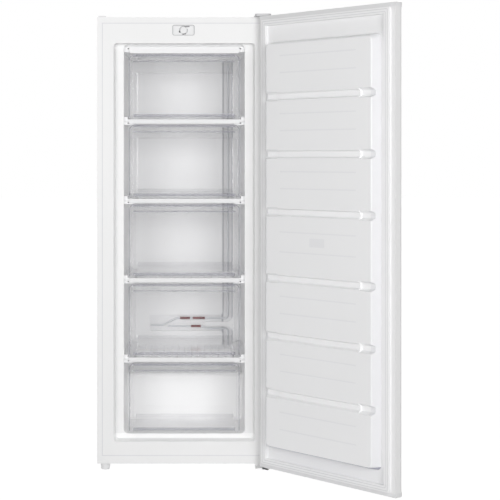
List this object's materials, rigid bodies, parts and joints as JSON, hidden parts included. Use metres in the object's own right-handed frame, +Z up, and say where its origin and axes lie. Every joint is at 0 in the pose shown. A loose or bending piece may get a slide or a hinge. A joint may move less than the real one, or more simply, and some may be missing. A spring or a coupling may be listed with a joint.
{
  "type": "upright freezer",
  "caption": "Upright freezer standing open, with a right-hand hinged door, clear pull-out drawers on cooled shelves and a knob in the fascia.",
  "frame": {"origin": "on the floor, under the middle of the cabinet", "axes": "+Z up, +X to the right and -Y to the front, as seen from the front"},
  "size_m": [0.8977, 0.9624, 1.4362],
  "materials": {
    "painted_white": "gloss",
    "galvanised_steel": "satin",
    "liner_plastic": "satin",
    "rigid_foam": "matte",
    "white_plastic": "satin",
    "seal_vinyl": "matte",
    "magnet_strip": "matte",
    "coated_pipe": "satin",
    "red_sleeve": "satin",
    "black_steel": "satin",
    "black_plastic": "satin",
    "zinc_steel": "satin",
    "black_rubber": "matte",
    "copper_pipe": "satin",
    "coated_evaporator": "satin",
    "clear_plastic": "gloss"
  },
  "bodies": {
    "cabinet": {"right_side_panel": "painted_white", "left_side_panel": "painted_white", "top_panel": "painted_white", "base_rail": "painted_white", "back_panel": "galvanised_steel", "bottom_panel": "galvanised_steel", "machine_wall": "galvanised_steel", "compressor_plate": "galvanised_steel", "condenser_brackets": "galvanised_steel", "cabinet_liner": "liner_plastic", "cabinet_insulation": "rigid_foam", "thermostat_tub": "white_plastic", "thermostat_switch": "white_plastic", "shelf_rails": "white_plastic", "hinge_hole_cap": "white_plastic", "outlet_pipe": "coated_pipe", "inlet_pipe": "coated_pipe", "pipe_sleeves": "red_sleeve", "upper_hinge_plate": "black_steel", "lower_hinge_bracket": "black_steel", "upper_hinge_cover": "black_plastic", "hinge_pins": "zinc_steel", "hinge_screws": "zinc_steel", "compressor_bolts": "zinc_steel", "rear_feet": "black_plastic", "compressor": "black_steel", "compressor_grommets": "black_rubber", "relay_box": "black_plastic", "suction_line": "copper_pipe", "filter_drier": "copper_pipe", "capillary_tube": "copper_pipe", "discharge_line": "black_steel", "condenser_tube": "black_steel", "condenser_wires": "black_steel", "shelf_trim_1": "white_plastic", "evaporator_shelf_1": "coated_evaporator", "shelf_trim_2": "white_plastic", "evaporator_shelf_2": "coated_evaporator", "shelf_trim_3": "white_plastic", "evaporator_shelf_3": "coated_evaporator", "shelf_trim_4": "white_plastic", "evaporator_shelf_4": "coated_evaporator", "shelf_trim_5": "white_plastic", "evaporator_shelf_5": "coated_evaporator"},
    "door": {"door_skin": "painted_white", "door_liner": "liner_plastic", "door_insulation": "rigid_foam", "door_gasket": "seal_vinyl", "gasket_magnets": "magnet_strip", "door_top_cap": "white_plastic", "door_bottom_cap": "white_plastic", "door_bushes": "white_plastic"},
    "thermostat_knob_body": {"thermostat_knob": "white_plastic"},
    "left_foot_body": {"left_foot": "white_plastic"},
    "right_foot_body": {"right_foot": "white_plastic"},
    "top_drawer": {"drawer_1": "clear_plastic"},
    "second_drawer": {"drawer_2": "clear_plastic"},
    "third_drawer": {"drawer_3": "clear_plastic"},
    "fourth_drawer": {"drawer_4": "clear_plastic"},
    "bottom_drawer": {"drawer_5": "clear_plastic"}
  },
  "joints": [
    {"name": "door_hinge", "type": "hinge", "parent": "cabinet", "child": "door", "pos_m": [0.26, -0.2785, 0.724], "axis": [0, 0, 1], "range_deg": [-131.5, 18.5]},
    {"name": "top_drawer_slide", "type": "slide", "parent": "cabinet", "child": "top_drawer", "axis": [0, -1, 0], "range_m": [0, 0.28]},
    {"name": "second_drawer_slide", "type": "slide", "parent": "cabinet", "child": "second_drawer", "axis": [0, -1, 0], "range_m": [0, 0.28]},
    {"name": "third_drawer_slide", "type": "slide", "parent": "cabinet", "child": "third_drawer", "axis": [0, -1, 0], "range_m": [0, 0.28]},
    {"name": "fourth_drawer_slide", "type": "slide", "parent": "cabinet", "child": "fourth_drawer", "axis": [0, -1, 0], "range_m": [0, 0.28]},
    {"name": "bottom_drawer_slide", "type": "slide", "parent": "cabinet", "child": "bottom_drawer", "axis": [0, -1, 0], "range_m": [0, 0.17]},
    {"name": "thermostat_turn", "type": "hinge", "parent": "cabinet", "child": "thermostat_knob_body", "pos_m": [-0.0025, -0.25, 1.388], "axis": [0, 1, 0], "range_deg": [0, 270]},
    {"name": "left_foot_screw", "type": "hinge", "parent": "cabinet", "child": "left_foot_body", "pos_m": [-0.25, -0.224, 0.011], "axis": [0, 0, 1], "continuous": true},
    {"name": "right_foot_screw", "type": "hinge", "parent": "cabinet", "child": "right_foot_body", "pos_m": [0.25, -0.224, 0.011], "axis": [0, 0, 1], "continuous": true}
  ]
}
